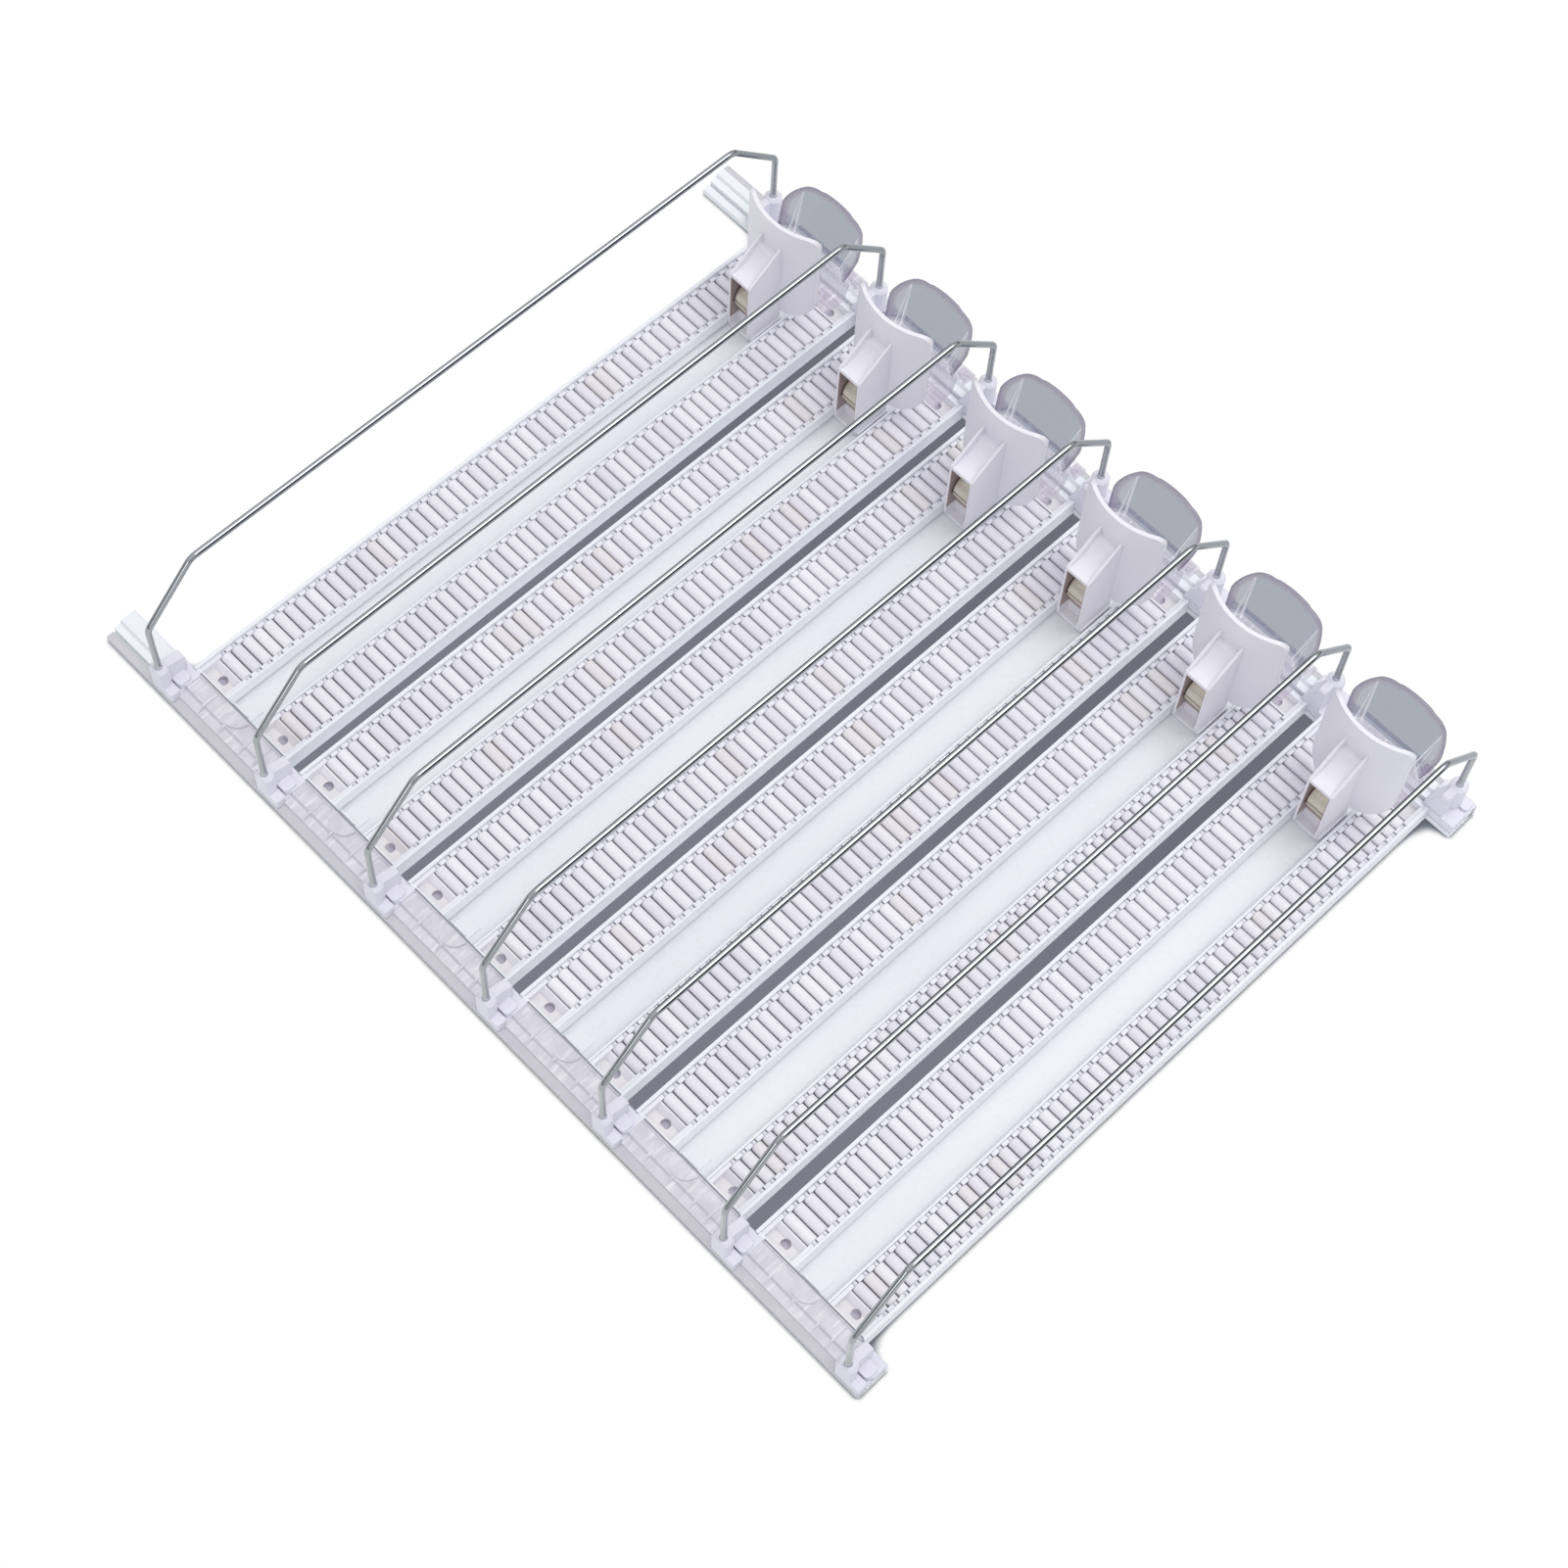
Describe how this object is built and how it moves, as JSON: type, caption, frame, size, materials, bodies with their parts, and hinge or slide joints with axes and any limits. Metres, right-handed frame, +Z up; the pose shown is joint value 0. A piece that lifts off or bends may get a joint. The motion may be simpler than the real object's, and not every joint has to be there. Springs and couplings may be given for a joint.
{
  "type": "fridge can organizer",
  "caption": "Fridge can organizer: roller lanes side by side on two rails, with wire dividers, spring pushers that slide along each lane and clear front stops.",
  "frame": {"origin": "centre of the bounding box's bottom face, on the shelf that the rails and trays rest on", "axes": "+X along the rails, to the right for someone who stands in front; +Y along the lanes, from the clear stops to the rear; +Z up"},
  "size_m": [0.4654, 0.374, 0.0815],
  "materials": {
    "trays": "satin moulded, pale bluish white",
    "rollers": "satin moulded, lavender white",
    "rails": "satin extruded white",
    "brackets": "satin moulded white",
    "pushers": "fine satin light grey white",
    "spring_strip": "rolled spring strip, warm reflections",
    "stops": "clear polished, smoky edges",
    "caps": "clear moulded, frosted ribs",
    "wires": "bright drawn wire"
  },
  "bodies": {
    "root": {"rear_rail": "rails", "front_rail": "rails", "tray_1": "trays", "tray_2": "trays", "tray_3": "trays", "tray_4": "trays", "tray_5": "trays", "tray_6": "trays", "roller_strips_1": "rollers", "roller_strips_2": "rollers", "roller_strips_3": "rollers", "roller_strips_4": "rollers", "roller_strips_5": "rollers", "roller_strips_6": "rollers", "front_stop_1": "stops", "front_stop_2": "stops", "front_stop_3": "stops", "front_stop_4": "stops", "front_stop_5": "stops", "front_stop_6": "stops", "rear_cap_1": "caps", "rear_cap_2": "caps", "rear_cap_3": "caps", "rear_cap_4": "caps", "rear_cap_5": "caps", "rear_cap_6": "caps", "rear_bracket_1": "brackets", "rear_bracket_2": "brackets", "rear_bracket_3": "brackets", "rear_bracket_4": "brackets", "rear_bracket_5": "brackets", "rear_bracket_6": "brackets", "rear_bracket_7": "brackets", "front_bracket_1": "brackets", "front_bracket_2": "brackets", "front_bracket_3": "brackets", "front_bracket_4": "brackets", "front_bracket_5": "brackets", "front_bracket_6": "brackets", "front_bracket_7": "brackets", "wire_divider_1": "wires", "wire_divider_2": "wires", "wire_divider_3": "wires", "wire_divider_4": "wires", "wire_divider_5": "wires", "wire_divider_6": "wires", "wire_divider_7": "wires"},
    "pusher_1": {"pusher_1": "pushers"},
    "spring_1": {"spring_1": "spring_strip"},
    "pusher_2": {"pusher_2": "pushers"},
    "spring_2": {"spring_2": "spring_strip"},
    "pusher_3": {"pusher_3": "pushers"},
    "spring_3": {"spring_3": "spring_strip"},
    "pusher_4": {"pusher_4": "pushers"},
    "spring_4": {"spring_4": "spring_strip"},
    "pusher_5": {"pusher_5": "pushers"},
    "spring_5": {"spring_5": "spring_strip"},
    "pusher_6": {"pusher_6": "pushers"},
    "spring_6": {"spring_6": "spring_strip"}
  },
  "joints": [
    {"name": "pusher_1_slide", "type": "slide", "parent": "root", "child": "pusher_1", "axis": [0, 1, 0], "range_m": [0, 0.281], "stiffness_N_per_m": 6, "springref_m": -0.5},
    {"name": "spring_1_spin", "type": "hinge", "parent": "pusher_1", "child": "spring_1", "pos_m": [-0.18875, -0.1347, 0.0245], "axis": [1, 0, 0], "range_deg": [-2000, 0]},
    {"name": "pusher_2_slide", "type": "slide", "parent": "root", "child": "pusher_2", "axis": [0, 1, 0], "range_m": [0, 0.281], "stiffness_N_per_m": 6, "springref_m": -0.5},
    {"name": "spring_2_spin", "type": "hinge", "parent": "pusher_2", "child": "spring_2", "pos_m": [-0.11875, -0.1347, 0.0245], "axis": [1, 0, 0], "range_deg": [-2000, 0]},
    {"name": "pusher_3_slide", "type": "slide", "parent": "root", "child": "pusher_3", "axis": [0, 1, 0], "range_m": [0, 0.281], "stiffness_N_per_m": 6, "springref_m": -0.5},
    {"name": "spring_3_spin", "type": "hinge", "parent": "pusher_3", "child": "spring_3", "pos_m": [-0.04875, -0.1347, 0.0245], "axis": [1, 0, 0], "range_deg": [-2000, 0]},
    {"name": "pusher_4_slide", "type": "slide", "parent": "root", "child": "pusher_4", "axis": [0, 1, 0], "range_m": [0, 0.281], "stiffness_N_per_m": 6, "springref_m": -0.5},
    {"name": "spring_4_spin", "type": "hinge", "parent": "pusher_4", "child": "spring_4", "pos_m": [0.02125, -0.1347, 0.0245], "axis": [1, 0, 0], "range_deg": [-2000, 0]},
    {"name": "pusher_5_slide", "type": "slide", "parent": "root", "child": "pusher_5", "axis": [0, 1, 0], "range_m": [0, 0.281], "stiffness_N_per_m": 6, "springref_m": -0.5},
    {"name": "spring_5_spin", "type": "hinge", "parent": "pusher_5", "child": "spring_5", "pos_m": [0.09125, -0.1347, 0.0245], "axis": [1, 0, 0], "range_deg": [-2000, 0]},
    {"name": "pusher_6_slide", "type": "slide", "parent": "root", "child": "pusher_6", "axis": [0, 1, 0], "range_m": [0, 0.281], "stiffness_N_per_m": 6, "springref_m": -0.5},
    {"name": "spring_6_spin", "type": "hinge", "parent": "pusher_6", "child": "spring_6", "pos_m": [0.16125, -0.1347, 0.0245], "axis": [1, 0, 0], "range_deg": [-2000, 0]}
  ],
  "couplings": [
    {"joint": "spring_1_spin", "follows": "pusher_1_slide", "rad_per_m": -117.65},
    {"joint": "spring_2_spin", "follows": "pusher_2_slide", "rad_per_m": -117.65},
    {"joint": "spring_3_spin", "follows": "pusher_3_slide", "rad_per_m": -117.65},
    {"joint": "spring_4_spin", "follows": "pusher_4_slide", "rad_per_m": -117.65},
    {"joint": "spring_5_spin", "follows": "pusher_5_slide", "rad_per_m": -117.65},
    {"joint": "spring_6_spin", "follows": "pusher_6_slide", "rad_per_m": -117.65}
  ]
}
